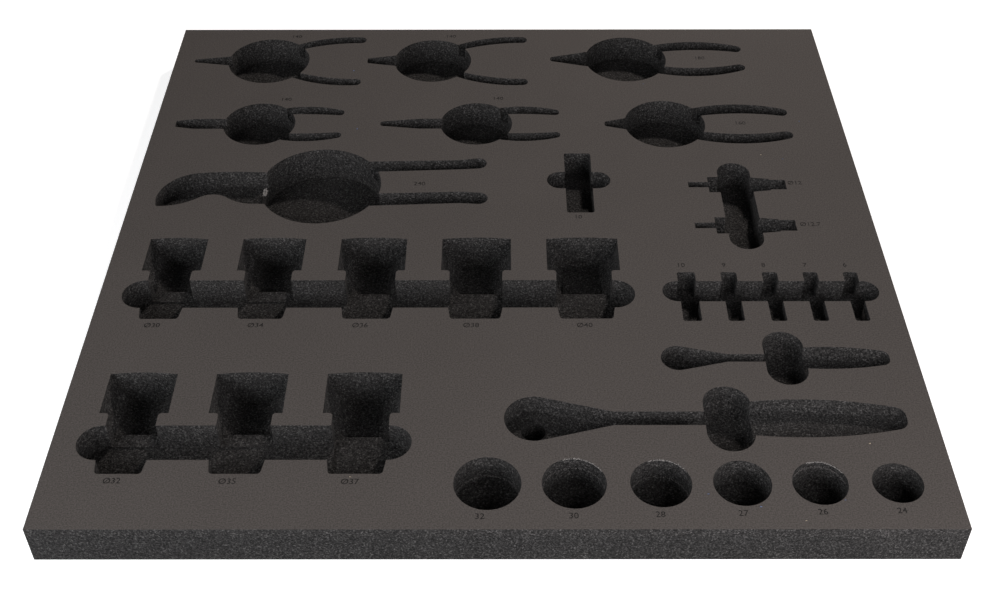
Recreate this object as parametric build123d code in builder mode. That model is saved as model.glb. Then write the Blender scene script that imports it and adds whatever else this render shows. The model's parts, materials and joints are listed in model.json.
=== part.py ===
from build123d import *
from collections import namedtuple
import os

# Foam tool tray insert for a wide drawer: three foam sheets bonded face to face, with tool pockets milled
# into the finished slab. Each sheet is made here in blocks that meet face to face between the pockets.
# Millimetres, +Z up, +Y towards the back of the drawer, +X to its right.
# The origin is the centre of the underside.

# Slab
tray_width = 565.0
tray_depth = 565.0
top_sheet_thickness = 7.0
core_sheet_thickness = 15.0
base_sheet_thickness = 8.0

# Every cutter starts this far above the top face, so that it leaves a clean mouth
cutter_overrun = 2.0

# Floor of the deepest pockets: the rack heads and the slip-joint pliers' finger well
deep_floor_depth = 27.5

# Pliers pockets: a round finger well at the joint, with a groove for the jaws and two for the handles
jaw_groove_depth = 10.0
jaw_floor_radius = 1.4
handle_groove_depth = 11.0
handle_floor_radius = 3.0

# A handle groove is given at its root, middle and tip by x and y from the joint and half its width
arched_handle = ((22.0, 21.0, 4.8), (54.0, 32.0, 5.3), (82.6, 33.4, 4.7))
slim_handle = ((20.0, 18.0, 4.6), (45.0, 18.9, 5.4), (68.5, 15.3, 3.6))
bowed_handle = ((25.0, 16.2, 6.0), (62.0, 21.2, 6.6), (103.0, 14.9, 5.0))
closed_handle = ((25.0, 16.2, 6.0), (62.0, 20.8, 6.4), (103.0, 12.0, 5.0))
tip_roundness = 0.95

# Jaws run to the left of the joint: reach to the tip, then the distance at which they are at full width
Jaws = namedtuple("Jaws", "reach tip_half_width full_at full_half_width tip_round")
Pliers = namedtuple("Pliers", "from_left from_back well_radius jaws back_handle front_handle")
small_pliers = (
    Pliers(82.0, 51.6, 35.0, Jaws(65.0, 2.3, 35.5, 7.0, 2.0), arched_handle, arched_handle),
    Pliers(225.2, 51.6, 33.4, Jaws(57.2, 3.7, 33.5, 8.2, 1.6), arched_handle, arched_handle),
    Pliers(393.8, 49.4, 35.2, Jaws(65.8, 3.0, 35.5, 11.3, 2.7), bowed_handle, closed_handle),
    Pliers(86.0, 147.0, 29.4, Jaws(69.0, 4.2, 53.0, 7.1, 1.6), slim_handle, slim_handle),
    Pliers(264.5, 147.0, 29.4, Jaws(79.0, 3.0, 47.0, 7.1, 2.7), slim_handle, slim_handle),
    Pliers(419.5, 147.5, 33.0, Jaws(49.5, 3.0, 32.0, 8.0, 2.7), bowed_handle, bowed_handle),
)

# Slip-joint pliers pocket: discs give each handle groove at its root, its waist and its swollen end
slip_joint_from_left = 144.5
slip_joint_from_back = 230.0
slip_joint_well_radius = 47.0
slip_joint_jaw_depth = 14.0
slip_joint_handle_depth = 13.0
slip_joint_corner_radius = 2.0
slip_joint_handles = (
    ((38.0, 24.1, 6.8), (108.0, 26.5, 6.1), (122.2, 28.3, 6.8)),
    ((40.0, -18.0, 7.6), (108.0, -15.3, 7.1), (123.0, -16.4, 7.1)),
)

# Racks of head-and-shank pockets, one for each shank diameter; heads lie towards the back
back_rack_sizes = (30.0, 34.0, 36.0, 38.0, 40.0)
front_rack_sizes = (32.0, 35.0, 37.0)
back_rack_from_back = 295.3
front_rack_from_back = 435.5
rack_from_left = 25.0
head_allowance = 12.7
head_axis_depth = 5.0
head_length = 35.3
head_crown = 1.6
head_gap = 26.1
shank_length = 51.2
shank_taper = 1.6
shank_taper_length = 11.0
shank_corner_radius = 2.6
shoulder_radius = 2.5
shallow_shank_depth = 21.0
deep_shank_depth = 23.5
largest_shallow_size = 35.0
trench_width = 29.0
trench_overhang = 9.0
trench_from_head = 60.6

# Rack of bit slots, across a finger trench
bit_slot_widths = (13.0, 11.4, 10.9, 10.6, 10.2)
bit_slot_length = 51.3
bit_slot_gap = 18.4
bit_slot_corner_radius = 1.8
bit_rack_depth = 17.0
bit_rack_from_right = 11.8
bit_rack_from_back = 333.0
bit_trench_width = 21.4
bit_trench_overhang = 12.0
bit_trench_offset = 20.4

# Round upright pockets for sockets, and the steps from each to the next
socket_diameters = (42.0, 40.0, 38.0, 36.0, 34.5, 31.5)
socket_steps = (53.4, 53.4, 50.0, 47.7, 47.7)
last_socket_from_right = 36.4
socket_row_from_front = 35.5

# Deep slot with finger lobes at both sides
deep_slot_from_left = 345.5
deep_slot_from_back = 226.3
deep_slot_width = 21.0
deep_slot_length = 75.5
deep_slot_corner_radius = 2.0
deep_slot_depth = 20.0
lobe_reach = 49.5
lobe_width = 21.0
lobe_offset = 2.7
lobe_depth = 13.0

# Two stepped round tools, side by side across one finger trench
arbor_trench_from_right = 97.7
arbor_trench_from_back = 254.6
arbor_trench_width = 25.5
arbor_trench_length = 105.5
arbor_pitch = 50.0
arbor_axis_depth = 3.0
arbor_pin_radius = 3.3
arbor_pin_start = -36.8
arbor_collar_radius = 9.6
arbor_collar_start = -21.3
arbor_cone_radius = 7.2
arbor_cone_start = 8.0
arbor_tail_start = 26.6
arbor_tail_end = 39.0
arbor_tail_diameters = (12.0, 12.7)

# Ratchet pockets: head, tapered neck, finger trench and swelling handle, all along X from the head's centre
Ratchet = namedtuple(
    "Ratchet",
    "from_right from_front head_radius head_depth neck_start neck_radius"
    " trench_at trench_width trench_length handle_start_half_width"
    " handle_peak_at handle_half_width handle_end handle_end_half_width",
)
large_ratchet = Ratchet(259.0, 89.4, 19.3, 13.0, 50.5, 5.9, 125.5, 31.0, 56.5, 12.6, 178.0, 16.5, 240.0, 8.4)
small_ratchet = Ratchet(161.0, 144.4, 11.5, 11.0, 33.0, 3.6, 72.2, 27.5, 50.5, 8.5, 110.0, 10.3, 142.5, 6.0)
ratchet_floor_radius = 2.0
ratchet_handle_depth = 9.0
ratchet_handle_floor_radius = 5.0
ratchet_trench_depth = 19.0
ratchet_trench_floor_radius = 9.0
drive_hole_radius = 8.1
drive_hole_depth = 25.0

# A pocket has the place of its datum on the top face, its cutter, and how far that reaches
Pocket = namedtuple("Pocket", "x y cutter left right front back floor")
Block = namedtuple("Block", "name left right front back")

tray_height = top_sheet_thickness + core_sheet_thickness + base_sheet_thickness
base_face_depth = top_sheet_thickness + core_sheet_thickness
left_edge = -tray_width / 2
right_edge = tray_width / 2
back_edge = tray_depth / 2
front_edge = -tray_depth / 2


def groove(outline, depth, floor_radius):
    """Mill an outline straight down to a flat floor with rounded corners."""
    with BuildPart() as cutter:
        extrude(outline, amount=-depth)
        fillet(cutter.edges().group_by(Axis.Z)[0], floor_radius)
        extrude(outline, amount=cutter_overrun)
    return cutter.part


def trench(length, width, depth, along_y=False):
    """Mill a finger trench with round ends and upright walls."""
    with BuildPart() as cutter:
        with BuildSketch(Plane.XY.offset(cutter_overrun)):
            SlotOverall(length, width, rotation=90 if along_y else 0)
        extrude(amount=-depth - cutter_overrun)
    return cutter.part


def bar(*discs):
    """Outline a bar that runs from disc to disc, each given by x, y and radius."""
    with BuildSketch() as outline:
        for first, second in zip(discs, discs[1:]):
            add(link(first, second))
    return outline.sketch


def link(first, second):
    """Outline the straight-sided hull of two discs."""
    with BuildSketch() as hull:
        for x, y, radius in (first, second):
            with Locations((x, y)):
                Circle(radius)
        make_hull()
    return hull.sketch


def round_pocket(radius, depth):
    """Bore one upright round pocket with a flat floor."""
    with BuildPart() as pocket:
        with BuildSketch(Plane.XY.offset(cutter_overrun)):
            Circle(radius)
        extrude(amount=-depth - cutter_overrun)
    return pocket.part


def handle_outline(handle):
    """Outline one curved handle: two long arcs, a rounded tip and a square root inside the well."""
    outer = [(x, y + half_width) for x, y, half_width in handle]
    inner = [(x, y - half_width) for x, y, half_width in handle]
    tip_half_width = handle[-1][2]
    with BuildSketch() as outline:
        with BuildLine():
            ThreePointArc(*outer)
            Line(outer[-1], inner[-1])
            ThreePointArc(*inner)
            Line(inner[0], outer[0])
        make_face()
        fillet(outline.vertices().group_by(Axis.X)[-1], tip_half_width * tip_roundness)
    return outline.sketch


def handle_groove(handle):
    """Mill the groove of one handle, on the back side of the tool's axis."""
    return groove(handle_outline(handle), handle_groove_depth, handle_floor_radius)


def jaw_outline(jaws):
    """Outline straight tapered jaws from their tip to the middle of the joint."""
    with BuildSketch() as outline:
        with BuildLine():
            Polyline(
                (0, jaws.full_half_width),
                (-jaws.full_at, jaws.full_half_width),
                (-jaws.reach, jaws.tip_half_width),
                (-jaws.reach, -jaws.tip_half_width),
                (-jaws.full_at, -jaws.full_half_width),
                (0, -jaws.full_half_width),
                close=True,
            )
        make_face()
        fillet(outline.vertices().group_by(Axis.X)[0], jaws.tip_round)
    return outline.sketch


def pliers_pocket(pliers):
    """Mill the pocket of one pair of small pliers round its joint."""
    with BuildPart() as pocket:
        add(round_pocket(pliers.well_radius, base_face_depth))
        add(groove(jaw_outline(pliers.jaws), jaw_groove_depth, jaw_floor_radius))
        add(handle_groove(pliers.back_handle))
        add(handle_groove(pliers.front_handle).mirror(Plane.XZ))
    return pocket.part


def hooked_jaw_outline():
    """Outline the hooked jaw of the slip-joint pliers, from inside the well round its tip and back."""
    root_x = -30.0
    back_shoulder = (-100.0, 15.5)
    nose = (-125.4, -16.0)
    tip = (-124.0, -25.6)
    throat_front = (-93.0, -15.8)
    throat_rear = (-71.0, -15.2)
    heel = (-48.0, -23.1)
    with BuildSketch() as outline:
        with BuildLine():
            back = ThreePointArc((root_x, 15.0), (-65.0, 17.6), back_shoulder)
            ThreePointArc(back_shoulder, (-118.6, 3.2), nose)
            Line(nose, tip)
            ThreePointArc(tip, (-108.0, -23.7), throat_front)
            ThreePointArc(throat_front, (-82.0, -11.4), throat_rear)
            ThreePointArc(throat_rear, (-61.0, -21.0), heel)
            Polyline(heel, (root_x, heel[1]), back @ 0)
        make_face()
        fillet(outline.vertices().sort_by(Axis.X)[:-2], slip_joint_corner_radius)
    return outline.sketch


def slip_joint_pocket():
    """Mill the pocket of the slip-joint pliers round its joint."""
    with BuildPart() as pocket:
        add(round_pocket(slip_joint_well_radius, deep_floor_depth))
        add(groove(hooked_jaw_outline(), slip_joint_jaw_depth, jaw_floor_radius))
        for handle in slip_joint_handles:
            add(groove(bar(*handle), slip_joint_handle_depth, handle_floor_radius))
    return pocket.part


def head_radius(size):
    """Radius of the head pocket that goes with a shank size."""
    return (size + head_allowance) / 2


def rack_places(sizes):
    """Distance from the tray's left edge to the axis of each pocket of a rack."""
    places = []
    edge = rack_from_left
    for size in sizes:
        places.append(edge + head_radius(size))
        edge += 2 * head_radius(size) + head_gap
    return places


def shank_outline(size):
    """Outline a shank pocket: shoulders rounded into the head, and a slightly narrower front end."""
    half_width = size / 2
    front_half_width = half_width - shank_taper
    with BuildSketch() as outline:
        with BuildLine():
            Polyline(
                (0, 1),
                (half_width + shoulder_radius, 1),
                (half_width + shoulder_radius, 0),
                (half_width, 0),
                (half_width, shank_taper_length - shank_length),
                (front_half_width, -shank_length),
                (0, -shank_length),
            )
            mirror(about=Plane.YZ)
        make_face()
        inner_shoulders = outline.vertices().filter_by(lambda v: v.Y == 0 and abs(v.X) == half_width)
        fillet(inner_shoulders, shoulder_radius * 0.98)
        fillet(outline.vertices().group_by(Axis.Y)[0], shank_corner_radius)
    return outline.sketch


def head_and_shank_pocket(size):
    """Mill one pocket: a half-round head trough with a crowned back and a flat floor, and a flat shank."""
    radius = head_radius(size)
    shank_depth = shallow_shank_depth if size <= largest_shallow_size else deep_shank_depth
    with BuildPart() as pocket:
        with BuildSketch(Plane.XY.offset(-head_axis_depth)) as half_head:
            with BuildLine():
                Polyline((0, head_length + head_crown), (0, 0), (radius, 0), (radius, head_length))
                ThreePointArc(
                    (radius, head_length),
                    (radius / 2, head_length + head_crown * 0.75),
                    (0, head_length + head_crown),
                )
            make_face()
        revolve(axis=Axis((0, 0, -head_axis_depth), (0, 1, 0)))
        extrude(half_head.sketch, amount=head_axis_depth + cutter_overrun)
        mirror(about=Plane.YZ)
        split(bisect_by=Plane.XY.offset(-deep_floor_depth))
        with BuildSketch(Plane.XY.offset(cutter_overrun)):
            add(shank_outline(size))
        extrude(amount=-shank_depth - cutter_overrun)
    return pocket.part


def rack_trench(sizes):
    """Mill the finger trench under a rack's shanks, from one end of the rack to the other."""
    head_widths = [2 * head_radius(size) for size in sizes]
    rack_length = sum(head_widths) + head_gap * (len(sizes) - 1)
    return trench(rack_length + 2 * trench_overhang, trench_width, base_face_depth)


def bit_rack():
    """Mill the bit slots, side by side across their finger trench, from the rack's right-hand end."""
    rack_length = sum(bit_slot_widths) + bit_slot_gap * (len(bit_slot_widths) - 1) + 2 * bit_trench_overhang
    with BuildPart() as rack:
        with BuildSketch(Plane.XY.offset(cutter_overrun)):
            edge = bit_trench_overhang - rack_length
            for width in bit_slot_widths:
                with Locations((edge + width / 2, -bit_slot_length / 2)):
                    RectangleRounded(width, bit_slot_length, bit_slot_corner_radius)
                edge += width + bit_slot_gap
            with Locations((-rack_length / 2, -bit_trench_offset)):
                SlotOverall(rack_length, bit_trench_width)
        extrude(amount=-bit_rack_depth - cutter_overrun)
    return rack.part


def socket_places():
    """X of each round pocket, stepped off from the last one at the right."""
    places = [right_edge - last_socket_from_right]
    for step in reversed(socket_steps):
        places.insert(0, places[0] - step)
    return places


def deep_slot():
    """Mill the deep slot and the finger lobes across it."""
    with BuildPart() as pocket:
        with BuildSketch(Plane.XY.offset(cutter_overrun)):
            RectangleRounded(deep_slot_width, deep_slot_length, deep_slot_corner_radius)
        extrude(amount=-deep_slot_depth - cutter_overrun)
        with Locations((0, lobe_offset, 0)):
            add(trench(lobe_reach, lobe_width, lobe_depth))
    return pocket.part


def arbor_seat(tail_radius):
    """Mill the seat of one stepped round tool: half round below its axis, upright above it."""
    steps = (
        (arbor_pin_start, 0),
        (arbor_pin_start, arbor_pin_radius),
        (arbor_collar_start, arbor_pin_radius),
        (arbor_collar_start, arbor_collar_radius),
        (arbor_cone_start, arbor_collar_radius),
        (arbor_tail_start, arbor_cone_radius),
        (arbor_tail_start, tail_radius),
        (arbor_tail_end, tail_radius),
        (arbor_tail_end, 0),
    )
    with BuildPart() as seat:
        axis_plane = Plane.XY.offset(-arbor_axis_depth)
        with BuildSketch(axis_plane) as half_outline:
            with BuildLine():
                Polyline(*steps, close=True)
            make_face()
        revolve(axis=Axis((0, 0, -arbor_axis_depth), (1, 0, 0)))
        extrude(half_outline.sketch, amount=arbor_axis_depth + cutter_overrun)
        mirror(about=Plane.XZ)
    return seat.part


def arbor_pocket():
    """Mill both stepped seats and the finger trench across them."""
    with BuildPart() as pocket:
        add(trench(arbor_trench_length, arbor_trench_width, base_face_depth, along_y=True))
        for side, tail_diameter in zip((1, -1), arbor_tail_diameters):
            with Locations((0, side * arbor_pitch / 2, 0)):
                add(arbor_seat(tail_diameter / 2))
    return pocket.part


def ratchet_handle_outline(ratchet):
    """Outline a handle that swells from the finger trench and closes in a rounded end."""
    start = (ratchet.trench_at, ratchet.handle_start_half_width)
    peak = (ratchet.handle_peak_at, ratchet.handle_half_width)
    end = (ratchet.handle_end, ratchet.handle_end_half_width)
    with BuildSketch() as outline:
        with BuildLine():
            ThreePointArc(start, peak, end)
            Line(start, (start[0], 0))
            Line(end, (end[0], 0))
            mirror(about=Plane.XZ)
        make_face()
        fillet(outline.vertices().group_by(Axis.X)[-1], ratchet.handle_end_half_width * tip_roundness)
    return outline.sketch


def ratchet_pocket(ratchet):
    """Mill a ratchet's pocket: head and neck, handle, and the deeper finger trench between them."""
    head = (0, 0, ratchet.head_radius)
    neck = (ratchet.neck_start, 0, ratchet.neck_radius)
    neck_end = (ratchet.trench_at, 0, ratchet.neck_radius)
    with BuildPart() as pocket:
        add(groove(bar(head, neck, neck_end), ratchet.head_depth, ratchet_floor_radius))
        add(groove(ratchet_handle_outline(ratchet), ratchet_handle_depth, ratchet_handle_floor_radius))
        with BuildSketch() as trench_outline:
            with Locations((ratchet.trench_at, 0)):
                SlotOverall(ratchet.trench_length, ratchet.trench_width, rotation=90)
        add(groove(trench_outline.sketch, ratchet_trench_depth, ratchet_trench_floor_radius))
    return pocket.part


def pocket_at(x, y, cutter):
    """Place a cutter on the top face and note how far it reaches."""
    box = cutter.bounding_box()
    floor = tray_height + box.min.Z
    return Pocket(x, y, cutter, x + box.min.X, x + box.max.X, y + box.min.Y, y + box.max.Y, floor)


def place_rack(places, name, sizes, from_back):
    """Place the head-and-shank pockets of one rack and the finger trench across them."""
    head_back = back_edge - from_back
    head_places = rack_places(sizes)
    for size, from_left in zip(sizes, head_places):
        pocket = pocket_at(left_edge + from_left, head_back - head_length, head_and_shank_pocket(size))
        places[f"{name}_{size:.0f}"] = [pocket]
    first = head_places[0] - head_radius(sizes[0])
    last = head_places[-1] + head_radius(sizes[-1])
    trench_x = left_edge + (first + last) / 2
    places[f"{name}_trench"] = [pocket_at(trench_x, head_back - trench_from_head, rack_trench(sizes))]


def place_pockets():
    """Every pocket of the tray by name; the sockets, and a ratchet with its drive hole, share a name."""
    places = {}
    for number, pliers in enumerate(small_pliers, start=1):
        x = left_edge + pliers.from_left
        y = back_edge - pliers.from_back
        places[f"pliers_{number}"] = [pocket_at(x, y, pliers_pocket(pliers))]
    x = left_edge + slip_joint_from_left
    y = back_edge - slip_joint_from_back
    places["slip_joint"] = [pocket_at(x, y, slip_joint_pocket())]
    x = left_edge + deep_slot_from_left
    y = back_edge - deep_slot_from_back
    places["deep_slot"] = [pocket_at(x, y, deep_slot())]
    x = right_edge - arbor_trench_from_right
    y = back_edge - arbor_trench_from_back
    places["arbors"] = [pocket_at(x, y, arbor_pocket())]
    place_rack(places, "back_rack", back_rack_sizes, back_rack_from_back)
    place_rack(places, "front_rack", front_rack_sizes, front_rack_from_back)
    x = right_edge - bit_rack_from_right
    y = back_edge - bit_rack_from_back
    places["bits"] = [pocket_at(x, y, bit_rack())]
    x = right_edge - small_ratchet.from_right
    y = front_edge + small_ratchet.from_front
    places["small_ratchet"] = [pocket_at(x, y, ratchet_pocket(small_ratchet))]
    x = right_edge - large_ratchet.from_right
    y = front_edge + large_ratchet.from_front
    places["large_ratchet"] = [
        pocket_at(x, y, ratchet_pocket(large_ratchet)),
        pocket_at(x, y, round_pocket(drive_hole_radius, drive_hole_depth)),
    ]
    y = front_edge + socket_row_from_front
    places["sockets"] = []
    for x, diameter in zip(socket_places(), socket_diameters):
        places["sockets"].append(pocket_at(x, y, round_pocket(diameter / 2, base_face_depth)))
    return places


def cut_between_columns(left_names, right_names):
    """X of the cut midway between two groups of pockets side by side."""
    left_side = max(pocket.right for name in left_names for pocket in pockets[name])
    right_side = min(pocket.left for name in right_names for pocket in pockets[name])
    return (left_side + right_side) / 2


def cut_between_rows(front_names, back_names):
    """Y of the cut midway between two groups of pockets, one behind the other."""
    front_side = max(pocket.back for name in front_names for pocket in pockets[name])
    back_side = min(pocket.front for name in back_names for pocket in pockets[name])
    return (front_side + back_side) / 2


def row_of_blocks(names, left, right, front, back):
    """Blocks side by side in one row, cut midway between the pockets that they are named after."""
    cuts = [left]
    for first, second in zip(names, names[1:]):
        cuts.append(cut_between_columns([first], [second]))
    cuts.append(right)
    return [Block(name, x0, x1, front, back) for name, x0, x1 in zip(names, cuts, cuts[1:])]


def rack_blocks(name, sizes, area):
    """Cut a rack's block into one for each head, and one for the front ends of all the shanks."""
    names = [f"{name}_{size:.0f}" for size in sizes]
    trench_middle = pockets[f"{name}_trench"][0].y
    blocks = row_of_blocks(names, area.left, area.right, trench_middle, area.back)
    blocks.append(Block(f"{name}_shanks", area.left, area.right, area.front, trench_middle))
    return blocks


def tray_blocks():
    """The blocks of the base sheet, and the smaller ones of the sheets above it."""
    back_pliers = ("pliers_1", "pliers_2", "pliers_3")
    front_pliers = ("pliers_4", "pliers_5", "pliers_6")
    back_rack = [f"back_rack_{size:.0f}" for size in back_rack_sizes]
    front_rack = [f"front_rack_{size:.0f}" for size in front_rack_sizes]
    pliers_cut = cut_between_rows(front_pliers, back_pliers)
    middle_cut = cut_between_rows(("slip_joint", "deep_slot", "arbors"), front_pliers)
    rack_cut = cut_between_rows(back_rack, ("slip_joint", "deep_slot"))
    bit_cut = cut_between_rows(("bits",), ("arbors",))
    front_cut = cut_between_rows(["small_ratchet"] + front_rack, back_rack + ["bits"])
    ratchet_cut = cut_between_rows(("large_ratchet",), ("small_ratchet",))
    socket_cut = cut_between_rows(("sockets",), ("large_ratchet",))
    slot_cut = cut_between_columns(("slip_joint",), ("deep_slot",))
    right_cut = cut_between_columns(("back_rack_trench",), ("bits",))
    left_cut = cut_between_columns(("front_rack_trench",), ("sockets",))
    pliers_area = Block("pliers", left_edge, right_edge, middle_cut, back_edge)
    back_rack_area = Block("back_rack", left_edge, right_cut, front_cut, rack_cut)
    front_rack_area = Block("front_rack", left_edge, left_cut, front_edge, front_cut)
    shared = [
        Block("slip_joint", left_edge, slot_cut, rack_cut, middle_cut),
        Block("deep_slot", slot_cut, right_cut, rack_cut, middle_cut),
        Block("arbors", right_cut, right_edge, bit_cut, middle_cut),
        Block("bits", right_cut, right_edge, front_cut, bit_cut),
        Block("small_ratchet", left_cut, right_edge, ratchet_cut, front_cut),
        Block("large_ratchet", left_cut, right_edge, socket_cut, ratchet_cut),
        Block("sockets", left_cut, right_edge, front_edge, socket_cut),
    ]
    base_blocks = shared + [pliers_area, back_rack_area, front_rack_area]
    upper_blocks = shared + row_of_blocks(back_pliers, left_edge, right_edge, pliers_cut, back_edge)
    upper_blocks += row_of_blocks(front_pliers, left_edge, right_edge, middle_cut, pliers_cut)
    upper_blocks += rack_blocks("back_rack", back_rack_sizes, back_rack_area)
    upper_blocks += rack_blocks("front_rack", front_rack_sizes, front_rack_area)
    return base_blocks, upper_blocks


def reaches(pocket, block, top):
    """Tell whether a pocket comes into a block whose upper face is at the given height."""
    crosses_x = pocket.left < block.right and pocket.right > block.left
    crosses_y = pocket.front < block.back and pocket.back > block.front
    return crosses_x and crosses_y and pocket.floor < top


def foam_block(block, bottom, thickness):
    """Make one block of a sheet and mill every pocket that reaches it."""
    with BuildPart() as foam:
        with BuildSketch(Plane.XY.offset(bottom)):
            with Locations(((block.left + block.right) / 2, (block.front + block.back) / 2)):
                Rectangle(block.right - block.left, block.back - block.front)
        extrude(amount=thickness)
        for group in pockets.values():
            for pocket in group:
                if reaches(pocket, block, bottom + thickness):
                    with Locations((pocket.x, pocket.y, tray_height)):
                        add(pocket.cutter, mode=Mode.SUBTRACT)
    return foam


def export_sheet(sheet_name, bottom, thickness, blocks):
    """Make the blocks of one sheet and write each as a named part."""
    for block in blocks:
        foam = foam_block(block, bottom, thickness)
        foam.part.label = f"{sheet_name}_{block.name}"
        export_step(foam.part, f"parts/{foam.part.label}.step")


pockets = place_pockets()
base_blocks, upper_blocks = tray_blocks()

os.makedirs("parts", exist_ok=True)
export_sheet("base", 0, base_sheet_thickness, base_blocks)
export_sheet("core", base_sheet_thickness, core_sheet_thickness, upper_blocks)
export_sheet("top", base_sheet_thickness + core_sheet_thickness, top_sheet_thickness, upper_blocks)
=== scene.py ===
"""Foam tool tray insert: three bonded foam sheets with milled pockets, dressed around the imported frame."""
import bmesh
import bpy
import json
import math
from mathutils import Matrix, Vector


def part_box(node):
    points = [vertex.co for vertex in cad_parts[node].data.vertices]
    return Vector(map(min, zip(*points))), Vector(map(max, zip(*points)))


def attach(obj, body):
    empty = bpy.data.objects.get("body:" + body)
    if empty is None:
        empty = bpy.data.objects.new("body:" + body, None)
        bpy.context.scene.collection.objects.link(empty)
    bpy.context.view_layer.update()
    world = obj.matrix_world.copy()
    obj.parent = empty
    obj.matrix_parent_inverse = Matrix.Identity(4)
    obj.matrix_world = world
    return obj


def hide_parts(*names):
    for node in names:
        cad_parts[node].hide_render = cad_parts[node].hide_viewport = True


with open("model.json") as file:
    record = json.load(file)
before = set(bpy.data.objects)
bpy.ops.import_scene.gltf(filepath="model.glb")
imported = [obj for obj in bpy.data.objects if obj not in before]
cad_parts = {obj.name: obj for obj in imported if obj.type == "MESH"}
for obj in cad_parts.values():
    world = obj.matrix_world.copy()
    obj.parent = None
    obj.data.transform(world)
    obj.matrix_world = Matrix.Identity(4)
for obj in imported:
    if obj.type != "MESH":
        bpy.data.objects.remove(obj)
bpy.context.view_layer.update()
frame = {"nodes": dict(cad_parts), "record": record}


# The core sheet: 15 mm of firm black closed-cell foam, sawn at its outer sides and milled inside the
# pockets, so every face shows opened cells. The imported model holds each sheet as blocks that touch;
# here their touching faces are taken out and the blocks joined into the one sheet that they make.
touching = 2e-6
edge_end = 1e-5
level_normal = 0.999
flat_bend = math.radians(0.4)
crisp_corner = math.radians(32)
seam_rounding = 0.00022
cell_size = 0.0009
cell_depth = 0.0006
lump_size = 0.0020
lump_height = 0.0009
grain_size = 0.0014
painted_glint_size = 0.0010
cut_cloud_size = 0.030
cut_roughness = 0.93
foam_specular = 0.25
core_colour = (0.0375, 0.0363, 0.0360)


def new_object(name, data):
    """An object at the origin, linked into the scene."""
    made = bpy.data.objects.new(name, data)
    bpy.context.scene.collection.objects.link(made)
    return made


def sheet_box(nodes):
    """The lowest and highest corners of all the blocks of one sheet."""
    lows, highs = zip(*(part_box(node) for node in nodes))
    low = Vector([min(corner[axis] for corner in lows) for axis in range(3)])
    high = Vector([max(corner[axis] for corner in highs) for axis in range(3)])
    return low, high


def cut_sides(node, nodes):
    """The axis and place of each side of a block at which another block of the sheet begins."""
    low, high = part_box(node)
    others = [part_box(other) for other in nodes if other != node]
    sides = []
    for axis in (0, 1):
        if any(abs(low[axis] - other_high[axis]) < touching for _, other_high in others):
            sides.append((axis, low[axis]))
        if any(abs(high[axis] - other_low[axis]) < touching for other_low, _ in others):
            sides.append((axis, high[axis]))
    return sides


def open_block(node, nodes):
    """A block's triangles without those on its cut sides, where the next block begins."""
    block = bmesh.new()
    block.from_mesh(frame["nodes"][node].data)
    bmesh.ops.remove_doubles(block, verts=block.verts, dist=touching)
    cut = set()
    for axis, side in cut_sides(node, nodes):
        cut.update(f for f in block.faces if all(abs(v.co[axis] - side) < touching for v in f.verts))
    bmesh.ops.delete(block, geom=list(cut), context="FACES")
    mesh = bpy.data.meshes.new(node)
    block.to_mesh(mesh)
    block.free()
    return mesh


def split_at_corners(work):
    """Split the blocks' open edges where the corner of another block lies on them."""
    edges = [edge for edge in work.edges if edge.is_boundary]
    corners = {vert for edge in edges for vert in edge.verts}
    for edge in edges:
        start, end = edge.verts
        along = end.co - start.co
        inner = []
        for corner in corners:
            part = (corner.co - start.co).dot(along) / along.length_squared
            inside = edge_end < part < 1 - edge_end
            if inside and (start.co + along * part - corner.co).length < touching:
                inner.append((part, corner.co.copy()))
        for _, place in sorted(inner, key=lambda item: item[0], reverse=True):
            new_edge, new_vert = bmesh.utils.edge_split(edge, start, 0.5)
            new_vert.co = place
            edge = edge if start in edge.verts else new_edge


def join_blocks(nodes, name):
    """One closed mesh of all the blocks of a sheet, with its flat stretches cleared of inner edges."""
    work = bmesh.new()
    for node in nodes:
        mesh = open_block(node, nodes)
        work.from_mesh(mesh)
        bpy.data.meshes.remove(mesh)
    bmesh.ops.remove_doubles(work, verts=work.verts, dist=touching)
    split_at_corners(work)
    bmesh.ops.remove_doubles(work, verts=work.verts, dist=touching)
    bmesh.ops.recalc_face_normals(work, faces=work.faces)
    bmesh.ops.dissolve_limit(work, angle_limit=flat_bend, verts=work.verts, edges=work.edges)
    mesh = bpy.data.meshes.new(name)
    work.to_mesh(mesh)
    work.free()
    return new_object(name, mesh)


def on_rim(edge, height):
    """Whether an edge joins the flat face at this height to a wall."""
    if any(abs(v.co.z - height) > touching for v in edge.verts) or len(edge.link_faces) != 2:
        return False
    flat = [abs(f.normal.z) > level_normal for f in edge.link_faces]
    return flat[0] != flat[1]


def soften(piece, height, width, segments):
    """Round the edges of a sheet's flat face at one height, where the cutter or the saw left the foam."""
    work = bmesh.new()
    work.from_mesh(piece.data)
    rim = [e for e in work.edges if on_rim(e, height)]
    bmesh.ops.bevel(
        work, geom=rim, offset=width, offset_type="OFFSET", segments=segments, profile=0.5,
        affect="EDGES", clamp_overlap=True, loop_slide=True)
    work.to_mesh(piece.data)
    work.free()


def finish_sheet(piece, nodes):
    """Smooth the round walls, keep the flat faces and the corners crisp, and put the sheet in the frame."""
    piece.data.set_sharp_from_angle(angle=crisp_corner)
    for face in piece.data.polygons:
        face.use_smooth = abs(face.normal.z) < level_normal
    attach(piece, "root")
    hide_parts(*nodes)


def new_material(name, roughness):
    """A material with its nodes, links, shader and object coordinates at hand."""
    material = bpy.data.materials.new(name)
    material.use_nodes = True
    nodes = material.node_tree.nodes
    shader = nodes["Principled BSDF"]
    shader.inputs["Roughness"].default_value = roughness
    shader.inputs["Specular IOR Level"].default_value = foam_specular
    place = nodes.new("ShaderNodeTexCoord").outputs["Object"]
    return material, nodes, material.node_tree.links, shader, place


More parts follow.
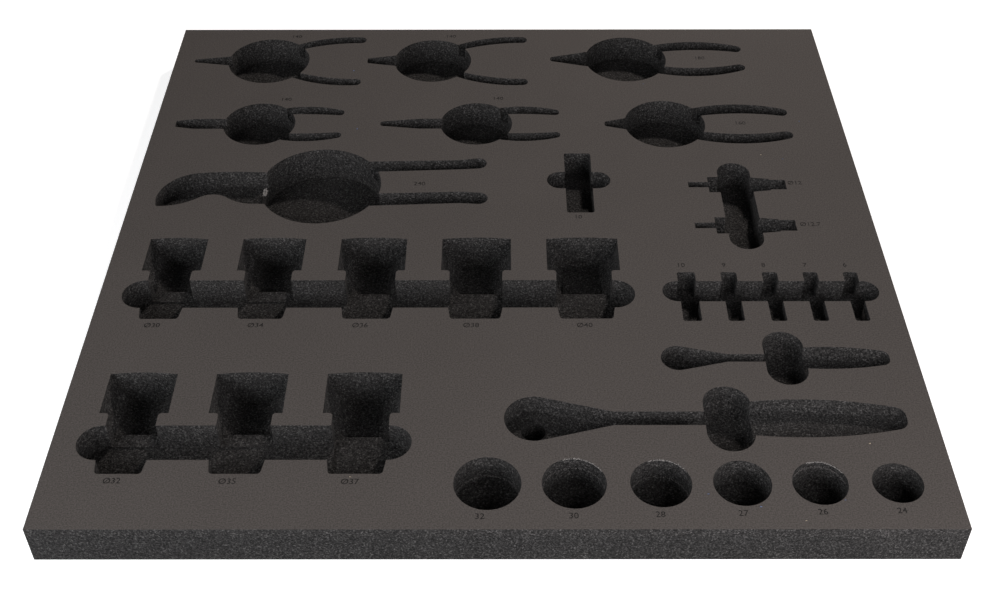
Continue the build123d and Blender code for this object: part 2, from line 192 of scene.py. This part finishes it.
def noise(nodes, links, place, size, detail, rough=0.5):
    """A noise whose patches are about the given size across."""
    texture = nodes.new("ShaderNodeTexNoise")
    texture.inputs["Scale"].default_value = 1 / size
    texture.inputs["Detail"].default_value = detail
    texture.inputs["Roughness"].default_value = rough
    links.new(place, texture.inputs["Vector"])
    return texture.outputs["Fac"]


def foam_cells(nodes, links, place, size, output):
    """Irregular cells about the given size across: the distance from their middles, or a colour for each."""
    texture = nodes.new("ShaderNodeTexVoronoi")
    texture.inputs["Scale"].default_value = 1 / size
    links.new(place, texture.inputs["Vector"])
    return texture.outputs[output]


def tinted(nodes, links, value, low, high, colour_low, colour_high):
    """Two colours mixed by a value, between its low and high points."""
    ramp = nodes.new("ShaderNodeValToRGB")
    ramp.color_ramp.elements[0].position = low
    ramp.color_ramp.elements[1].position = high
    ramp.color_ramp.elements[0].color = (*colour_low, 1)
    ramp.color_ramp.elements[1].color = (*colour_high, 1)
    links.new(value, ramp.inputs["Fac"])
    return ramp.outputs["Color"]


def multiplied(nodes, links, first, second):
    """Two colours multiplied."""
    mix = nodes.new("ShaderNodeMix")
    mix.data_type = "RGBA"
    mix.blend_type = "MULTIPLY"
    mix.inputs["Factor"].default_value = 1.0
    links.new(first, mix.inputs["A"])
    links.new(second, mix.inputs["B"])
    return mix.outputs["Result"]


def raised(nodes, links, height, distance, shader, below=None):
    """A bump of the given real height, laid over another one if there is one."""
    bump = nodes.new("ShaderNodeBump")
    bump.inputs["Distance"].default_value = distance
    bump.inputs["Strength"].default_value = 1.0
    links.new(height, bump.inputs["Height"])
    if below is not None:
        links.new(below, bump.inputs["Normal"])
    links.new(bump.outputs["Normal"], shader.inputs["Normal"])
    return bump.outputs["Normal"]


def grey(level):
    """A neutral colour of one level."""
    return (level, level, level)


def shade(colour, factor):
    """A colour made lighter or darker."""
    return tuple(part * factor for part in colour)


def cut_foam(name, colour):
    """Foam opened by a saw or a cutter: small torn cells, with dark pits, light cell walls and a painted
    highlight on a few cells.
    """
    material, nodes, links, shader, place = new_material(name, cut_roughness)
    depths = foam_cells(nodes, links, place, cell_size, "Distance")
    pits = tinted(nodes, links, depths, 0.05, 0.75, grey(1.55), grey(0.50))
    grain = tinted(nodes, links, noise(nodes, links, place, grain_size, 3.0), 0.36, 0.64, grey(0.40), grey(1.60))
    cloud = tinted(nodes, links, noise(nodes, links, place, cut_cloud_size, 3.0), 0.3, 0.7,
                   shade(colour, 0.90), shade(colour, 1.10))
    # Painted highlight: a few scattered cells made up to 1.9 times lighter in the base colour.
    painted_glints = tinted(nodes, links, foam_cells(nodes, links, place, painted_glint_size, "Color"), 0.66, 0.74,
                    grey(0.90), grey(1.9))
    speckled = multiplied(nodes, links, multiplied(nodes, links, cloud, grain), pits)
    links.new(multiplied(nodes, links, speckled, painted_glints), shader.inputs["Base Color"])
    lumps = raised(nodes, links, noise(nodes, links, place, lump_size, 3.0), lump_height, shader)
    raised(nodes, links, depths, cell_depth, shader, below=lumps)
    return material


core_nodes = [node for node in frame["nodes"] if node.startswith("core_")]
core_low, core_high = sheet_box(core_nodes)
core_piece = join_blocks(core_nodes, "core_foam_sheet")
soften(core_piece, core_high.z, seam_rounding, 1)
soften(core_piece, core_low.z, seam_rounding, 1)
core_piece.data.materials.append(cut_foam("cut_core_foam", core_colour))
finish_sheet(core_piece, core_nodes)


# The base sheet: 8 mm of the same foam. Only the deepest pockets are milled into it, and its upper face
# is the floor of the finger trenches. Its lower edge is rubbed a little round where it slides in a drawer.
foot_rounding = 0.0006
base_colour = (0.0370, 0.0357, 0.0350)

base_nodes = [node for node in frame["nodes"] if node.startswith("base_")]
base_low, base_high = sheet_box(base_nodes)
base_piece = join_blocks(base_nodes, "base_foam_sheet")
soften(base_piece, base_high.z, seam_rounding, 1)
soften(base_piece, base_low.z, foot_rounding, 2)
base_piece.data.materials.append(cut_foam("cut_base_foam", base_colour))
finish_sheet(base_piece, base_nodes)


# The top sheet: 7 mm of finer foam with the smooth, faintly pebbled skin of its moulding left on top.
# The cutter leaves the mouths of the pockets slightly rounded, and the size of each tool is engraved
# beside its pocket in thin lines.
mouth_rounding = 0.0005
skin_reach = mouth_rounding * 1.01
pebble_size = 0.0010
pebble_height = 0.00018
swell_size = 0.0032
swell_height = 0.00012
pore_spacing = 0.0028
skin_cloud_size = 0.060
skin_roughness = 0.80
skin_colour = (0.0835, 0.0750, 0.0700)
top_cut_colour = (0.0425, 0.0408, 0.0402)
mark_roughness = 0.7
mark_colour = (0.0230, 0.0215, 0.0210)
mark_height = 0.0062
mark_depth = 0.00035
mark_thickening = 0.004
mark_curve_steps = 3
mark_touching = 1e-7
size_marks = (
    ("Ø30", -0.2392, -0.1059), ("Ø34", -0.1676, -0.1059), ("Ø36", -0.0952, -0.1061),
    ("Ø38", -0.0184, -0.1061), ("Ø40", 0.0601, -0.1061),
    ("Ø32", -0.2375, -0.2452), ("Ø35", -0.1662, -0.2456), ("Ø37", -0.0908, -0.2459),
    ("32", -0.0106, -0.2730), ("30", 0.0460, -0.2725), ("28", 0.0982, -0.2716),
    ("27", 0.1481, -0.2707), ("26", 0.1962, -0.2697), ("24", 0.2440, -0.2688),
    ("10", 0.1327, -0.0429), ("9", 0.1638, -0.0429), ("8", 0.1926, -0.0429),
    ("7", 0.2226, -0.0429), ("6", 0.2515, -0.0429),
    ("10", 0.0607, 0.0130), ("Ø12", 0.2309, 0.0549), ("Ø12.7", 0.2345, 0.0039),
    ("140", -0.1806, 0.2705), ("140", -0.0425, 0.2705), ("140", -0.1786, 0.1708), ("140", -0.0002, 0.1718),
    ("180", 0.1762, 0.2344), ("160", 0.1990, 0.1356), ("240", -0.0611, 0.0543),
)


def skin_foam(name, colour):
    """The moulded skin: matt, with a fine pebble, faint clouds and a few darker pores."""
    material, nodes, links, shader, place = new_material(name, skin_roughness)
    pebble = noise(nodes, links, place, pebble_size, 4.0, 0.6)
    grain = tinted(nodes, links, pebble, 0.36, 0.64, grey(0.70), grey(1.30))
    cloud = tinted(nodes, links, noise(nodes, links, place, skin_cloud_size, 4.0), 0.3, 0.7,
                   shade(colour, 0.97), shade(colour, 1.03))
    pores = tinted(nodes, links, foam_cells(nodes, links, place, pore_spacing, "Distance"), 0.06, 0.14,
                   grey(0.80), grey(1.0))
    speckled = multiplied(nodes, links, multiplied(nodes, links, cloud, grain), pores)
    links.new(speckled, shader.inputs["Base Color"])
    swell = raised(nodes, links, noise(nodes, links, place, swell_size, 2.0), swell_height, shader)
    raised(nodes, links, pebble, pebble_height, shader, below=swell)
    return material


def plain_foam(name, colour, roughness):
    """A matt foam of one colour."""
    material, _, _, shader, _ = new_material(name, roughness)
    shader.inputs["Base Color"].default_value = (*colour, 1)
    return material


def evaluated_mesh(piece):
    """The mesh that an object's text or modifiers make."""
    bpy.context.view_layer.update()
    graph = bpy.context.evaluated_depsgraph_get()
    return bpy.data.meshes.new_from_object(piece.evaluated_get(graph))


def mark_cutter(marks, face_height, name):
    """One mesh of all the size numbers, standing through the skin to the depth of the engraving."""
    joined = bmesh.new()
    for text, x, y in marks:
        curve = bpy.data.curves.new(f"{name}_text", "FONT")
        curve.body = text
        curve.size = mark_height
        curve.align_x = "CENTER"
        curve.align_y = "CENTER"
        curve.offset = mark_thickening * mark_height
        curve.extrude = mark_depth
        curve.resolution_u = mark_curve_steps
        holder = new_object(f"{name}_text", curve)
        mesh = evaluated_mesh(holder)
        mesh.transform(Matrix.Translation((x, y, face_height)))
        joined.from_mesh(mesh)
        bpy.data.meshes.remove(mesh)
        bpy.data.objects.remove(holder)
    bmesh.ops.remove_doubles(joined, verts=joined.verts, dist=mark_touching)
    bmesh.ops.recalc_face_normals(joined, faces=joined.faces)
    mesh = bpy.data.meshes.new(name)
    joined.to_mesh(mesh)
    joined.free()
    return new_object(name, mesh)


def engrave(piece, cutter):
    """Cut the numbers out of the sheet and clear the cutter away."""
    modifier = piece.modifiers.new("engrave", "BOOLEAN")
    modifier.operation = "DIFFERENCE"
    modifier.solver = "EXACT"
    modifier.use_self = True
    modifier.object = cutter
    modifier.material_mode = "TRANSFER"
    engraved = evaluated_mesh(piece)
    piece.modifiers.clear()
    piece.data = engraved
    bpy.data.objects.remove(cutter)


top_nodes = [node for node in frame["nodes"] if node.startswith("top_")]
top_low, top_high = sheet_box(top_nodes)
top_piece = join_blocks(top_nodes, "top_foam_sheet")
soften(top_piece, top_high.z, mouth_rounding, 2)
soften(top_piece, top_low.z, seam_rounding, 1)
top_piece.data.materials.append(cut_foam("cut_top_foam", top_cut_colour))
top_piece.data.materials.append(skin_foam("foam_skin", skin_colour))
for face in top_piece.data.polygons:
    face.material_index = 1 if face.center.z > top_high.z - skin_reach else 0
size_cutter = mark_cutter(size_marks, top_high.z, "size_numbers")
size_cutter.data.materials.append(plain_foam("engraved_lines", mark_colour, mark_roughness))
engrave(top_piece, size_cutter)
finish_sheet(top_piece, top_nodes)


# Torn foam: where the cutter stepped down it left rough ledges on the socket pockets' walls, there are light
# fibres in the mouth of the long jaw groove, and a few crumbs lie about on the skin. Light grains along the back
# rim of three socket pockets are a painted highlight.
torn_roughness = 0.95
torn_colour = (0.110, 0.104, 0.102)
# Light grey, about eight times the foam's colour: it colours the fibres in the jaw groove, and on three socket
# back rim arcs it is a painted highlight.
fibre_and_highlight_colour = (0.300, 0.285, 0.275)
pale_crumb_colour = (0.42, 0.36, 0.28)
blue_crumb_colour = (0.16, 0.21, 0.36)
grain_turn = (0, 6.28)
grain_stretch = (0.4, 1.5)
arc_steps = 40
ledge_arc = (-95, 80)
ledge_inset = 0.00005
ledge_grains = {"Count": 120, "Size": 0.00042, "Spread": 0.00055, "Seed": 3}
ledge_depths = {"socket_pocket_32": 0.0180, "socket_pocket_30": 0.0095, "socket_pocket_28": 0.0165,
                "socket_pocket_26": 0.0050}
# Where the light grains stand along the socket pockets' back rims, as a painted highlight.
rim_highlight_arc = (-20, 60)
rim_highlight_depth = 0.0006
rim_highlight_grains = {"Count": 70, "Size": 0.00036, "Spread": 0.00030, "Seed": 5}
rim_highlight_sockets = ("socket_pocket_30", "socket_pocket_28", "socket_pocket_26")
jaw_mouth_depth = 0.0098
jaw_mouth_front = 0.0520
jaw_mouth_back = 0.0600
jaw_mouth_rows = (-0.1838, -0.1828, -0.1818)
jaw_mouth_grains = {"Count": 24, "Size": 0.00050, "Spread": 0.00060, "Seed": 7}
crumb_lift = 0.0002
crumb_length = 0.0006
blue_crumb_grains = {"Count": 2, "Size": 0.00034, "Spread": 0.0001, "Seed": 11}
pale_crumb_grains = {"Count": 2, "Size": 0.00034, "Spread": 0.0001, "Seed": 13}
blue_crumbs = ((0.1284, -0.2559), (0.1590, -0.2658), (0.2110, -0.2605), (0.2260, 0.0861), (0.1237, 0.1937),
               (0.2479, 0.1380), (-0.1254, 0.2144), (-0.1159, 0.1278))
pale_crumbs = ((0.2346, -0.2152), (0.1847, -0.2763), (0.2096, 0.0915), (-0.0909, -0.2421))


def socket_arc(name, inset, depth, span):
    """Points along part of a socket pocket's wall, between two azimuths in degrees from the back."""
    socket = mounts[name]
    centre = socket["pos_m"]
    radius = socket["dims"]["r_mm"] / 1000 - inset
    start, end = span
    angles = [math.radians(start + (end - start) * step / arc_steps) for step in range(arc_steps + 1)]
    height = top_high.z - depth
    return [(centre[0] + radius * math.sin(a), centre[1] + radius * math.cos(a), height) for a in angles]


def random_vector(nodes, links, seed, low, high):
    """A random vector for each point, each of its parts between two values."""
    value = nodes.new("FunctionNodeRandomValue")
    value.data_type = "FLOAT_VECTOR"
    value.inputs[0].default_value = (low,) * 3
    value.inputs[1].default_value = (high,) * 3
    links.new(seed, value.inputs["Seed"])
    return value.outputs[0]


def grain_group():
    """A node group that scatters rough grains along the edges of a mesh."""
    group = bpy.data.node_groups.new("torn_grains", "GeometryNodeTree")
    kinds = (("Paths", "Geometry"), ("Count", "Int"), ("Size", "Float"), ("Spread", "Float"), ("Seed", "Int"),
             ("Material", "Material"))
    group.interface.new_socket(name="Grains", in_out="OUTPUT", socket_type="NodeSocketGeometry")
    for name, kind in kinds:
        group.interface.new_socket(name=name, in_out="INPUT", socket_type=f"NodeSocket{kind}")
    nodes, links = group.nodes, group.links
    given = nodes.new("NodeGroupInput").outputs
    curve = nodes.new("GeometryNodeMeshToCurve")
    points = nodes.new("GeometryNodeCurveToPoints")
    points.mode = "COUNT"
    links.new(given["Paths"], curve.inputs["Mesh"])
    links.new(curve.outputs["Curve"], points.inputs["Curve"])
    links.new(given["Count"], points.inputs["Count"])
    moved = nodes.new("GeometryNodeSetPosition")
    links.new(points.outputs["Points"], moved.inputs["Geometry"])
    offset = nodes.new("ShaderNodeVectorMath")
    offset.operation = "SCALE"
    links.new(random_vector(nodes, links, given["Seed"], -1, 1), offset.inputs[0])
    links.new(given["Spread"], offset.inputs["Scale"])
    links.new(offset.outputs["Vector"], moved.inputs["Offset"])
    grain = nodes.new("GeometryNodeMeshIcoSphere")
    grain.inputs["Subdivisions"].default_value = 1
    links.new(given["Size"], grain.inputs["Radius"])
    placed = nodes.new("GeometryNodeInstanceOnPoints")
    links.new(moved.outputs["Geometry"], placed.inputs["Points"])
    links.new(grain.outputs["Mesh"], placed.inputs["Instance"])
    links.new(random_vector(nodes, links, given["Seed"], *grain_turn), placed.inputs["Rotation"])
    links.new(random_vector(nodes, links, given["Seed"], *grain_stretch), placed.inputs["Scale"])
    solid = nodes.new("GeometryNodeRealizeInstances")
    links.new(placed.outputs["Instances"], solid.inputs["Geometry"])
    coloured = nodes.new("GeometryNodeSetMaterial")
    links.new(solid.outputs["Geometry"], coloured.inputs["Geometry"])
    links.new(given["Material"], coloured.inputs["Material"])
    links.new(coloured.outputs["Geometry"], nodes.new("NodeGroupOutput").inputs["Grains"])
    return group


def torn_foam(name, paths, material, settings):
    """Grains along some paths, as a piece of its own: torn foam and crumbs, and on three back rim arcs a painted
    highlight.
    """
    verts, edges = [], []
    for path in paths:
        edges += [(len(verts) + i, len(verts) + i + 1) for i in range(len(path) - 1)]
        verts += path
    mesh = bpy.data.meshes.new(f"{name}_paths")
    mesh.from_pydata(verts, edges, [])
    piece = new_object(name, mesh)
    modifier = piece.modifiers.new("grains", "NODES")
    modifier.node_group = grains
    inputs = {**settings, "Material": material}
    for item in grains.interface.items_tree:
        if item.name in inputs:
            modifier[item.identifier] = inputs[item.name]
    made = evaluated_mesh(piece)
    piece.modifiers.clear()
    piece.data = made
    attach(piece, "root")


def crumb_paths(places):
    """A short path for each crumb, just above the skin."""
    height = top_high.z + crumb_lift
    return [[(x, y, height), (x + crumb_length, y, height)] for x, y in places]


grains = grain_group()
mounts = {mount["name"]: mount for mount in frame["record"]["mounts"]}
torn = plain_foam("torn_foam", torn_colour, torn_roughness)
fibre_and_highlight = plain_foam("frayed_foam_and_painted_highlight", fibre_and_highlight_colour, torn_roughness)
blue = plain_foam("blue_crumbs", blue_crumb_colour, torn_roughness)
pale = plain_foam("pale_crumbs", pale_crumb_colour, torn_roughness)
ledges = [socket_arc(name, ledge_inset, depth, ledge_arc) for name, depth in ledge_depths.items()]
# Painted highlight: the paths along the back rim arcs that carry the light grains.
highlit_rim_paths = [socket_arc(name, 0, rim_highlight_depth, rim_highlight_arc) for name in rim_highlight_sockets]
jaw_mouth = [[(x, y, top_high.z - jaw_mouth_depth) for y in (jaw_mouth_front, jaw_mouth_back)]
             for x in jaw_mouth_rows]
torn_foam("torn_ledges", ledges, torn, ledge_grains)
# Painted highlight on the back rim of three socket pockets, made of light grains.
torn_foam("painted_rim_highlights", highlit_rim_paths, fibre_and_highlight, rim_highlight_grains)
torn_foam("torn_jaw_mouth", jaw_mouth, fibre_and_highlight, jaw_mouth_grains)
torn_foam("blue_crumbs", crumb_paths(blue_crumbs), blue, blue_crumb_grains)
torn_foam("pale_crumbs", crumb_paths(pale_crumbs), pale, pale_crumb_grains)


# The table and the light: a white table under soft studio light, only as wide as the lamps light it white.
# A small warm lamp behind and to the right lights the pockets' floors, and three large low ones round the
# front light their back walls. Camera rays see white past the table's edge.
tray_centre = Vector((0, 0, 0.03))
table_reach = 0.65
table_drop = 0.0002
table_colour = (0.80, 0.80, 0.80)
table_roughness = 0.8
table_glow = 0.72
room_colour = (0.95, 0.97, 1.0)
room_strength = 0.03


def lamp(name, distance, azimuth, elevation, size, power, colour):
    """A square soft lamp, aimed at the tray; azimuth 0 is behind it, and 90 at its right."""
    data = bpy.data.lights.new(name, "AREA")
    data.shape = "SQUARE"
    data.size = size
    data.energy = power
    data.color = colour
    holder = new_object(name, data)
    a, e = math.radians(azimuth), math.radians(elevation)
    offset = Vector((math.sin(a) * math.cos(e), math.cos(a) * math.cos(e), math.sin(e))) * distance
    holder.location = tray_centre + offset
    holder.rotation_euler = (-offset).to_track_quat("-Z", "Y").to_euler()


def shown_to_camera(tree, usual, shown, output):
    """Give camera rays one shader and all other rays another."""
    path = tree.nodes.new("ShaderNodeLightPath")
    either = tree.nodes.new("ShaderNodeMixShader")
    tree.links.new(path.outputs["Is Camera Ray"], either.inputs["Fac"])
    tree.links.new(usual, either.inputs[1])
    tree.links.new(shown, either.inputs[2])
    tree.links.new(either.outputs["Shader"], tree.nodes[output].inputs["Surface"])


lamp("back_lamp", 1.6, 22, 37.5, 0.12, 11.6, (1.0, 0.91, 0.86))
lamp("front_right_lamp", 0.9, 150, 22, 0.5, 4.5, (0.99, 0.95, 0.95))
lamp("front_lamp", 1.2, 210, 18, 0.5, 2.7, (0.88, 0.95, 1.0))
lamp("front_left_lamp", 1.1, 238, 24, 0.6, 5.0, (0.98, 0.96, 0.97))

floor_mesh = bpy.data.meshes.new("floor")
floor_mesh.from_pydata(
    [(-table_reach, -table_reach, 0), (table_reach, -table_reach, 0),
     (table_reach, table_reach, 0), (-table_reach, table_reach, 0)], [], [(0, 1, 2, 3)])
floor = new_object("floor", floor_mesh)
floor.location.z = -table_drop

table = bpy.data.materials.new("white_table")
table.use_nodes = True
table_tree = table.node_tree
table_shader = table_tree.nodes["Principled BSDF"]
table_shader.inputs["Base Color"].default_value = (*table_colour, 1)
table_shader.inputs["Roughness"].default_value = table_roughness
glow = table_tree.nodes.new("ShaderNodeEmission")
glow.inputs["Strength"].default_value = table_glow
glowing = table_tree.nodes.new("ShaderNodeAddShader")
table_tree.links.new(table_shader.outputs["BSDF"], glowing.inputs[0])
table_tree.links.new(glow.outputs["Emission"], glowing.inputs[1])
shown_to_camera(table_tree, table_shader.outputs["BSDF"], glowing.outputs["Shader"], "Material Output")
floor.data.materials.append(table)

world = bpy.data.worlds.new("studio")
bpy.context.scene.world = world
world.use_nodes = True
room = world.node_tree.nodes["Background"]
room.inputs["Color"].default_value = (*room_colour, 1)
room.inputs["Strength"].default_value = room_strength
backdrop = world.node_tree.nodes.new("ShaderNodeBackground")
backdrop.inputs["Color"].default_value = (1, 1, 1, 1)
backdrop.inputs["Strength"].default_value = 1.0
shown_to_camera(world.node_tree, room.outputs["Background"], backdrop.outputs["Background"], "World Output")


# The camera looks down at the tray from the front, as the photographer did. Its place, direction and lens
# were fitted to the corners of the slab.
camera_place = Vector((0.0029, -0.7846, 0.6725))
camera_forward = Vector((-0.00136556, 0.73784581, -0.67496792))
camera_roll = math.radians(-0.12)
camera_lens = 48.66
camera_sensor = 36

camera_data = bpy.data.cameras.new("camera")
camera_data.lens = camera_lens
camera_data.sensor_width = camera_sensor
camera = new_object("camera", camera_data)
camera.location = camera_place
aim = camera_forward.to_track_quat("-Z", "Y").to_matrix()
camera.rotation_euler = (aim @ Matrix.Rotation(camera_roll, 3, "Z")).to_euler()
bpy.context.scene.camera = camera
bpy.context.scene.view_settings.view_transform = "Standard"
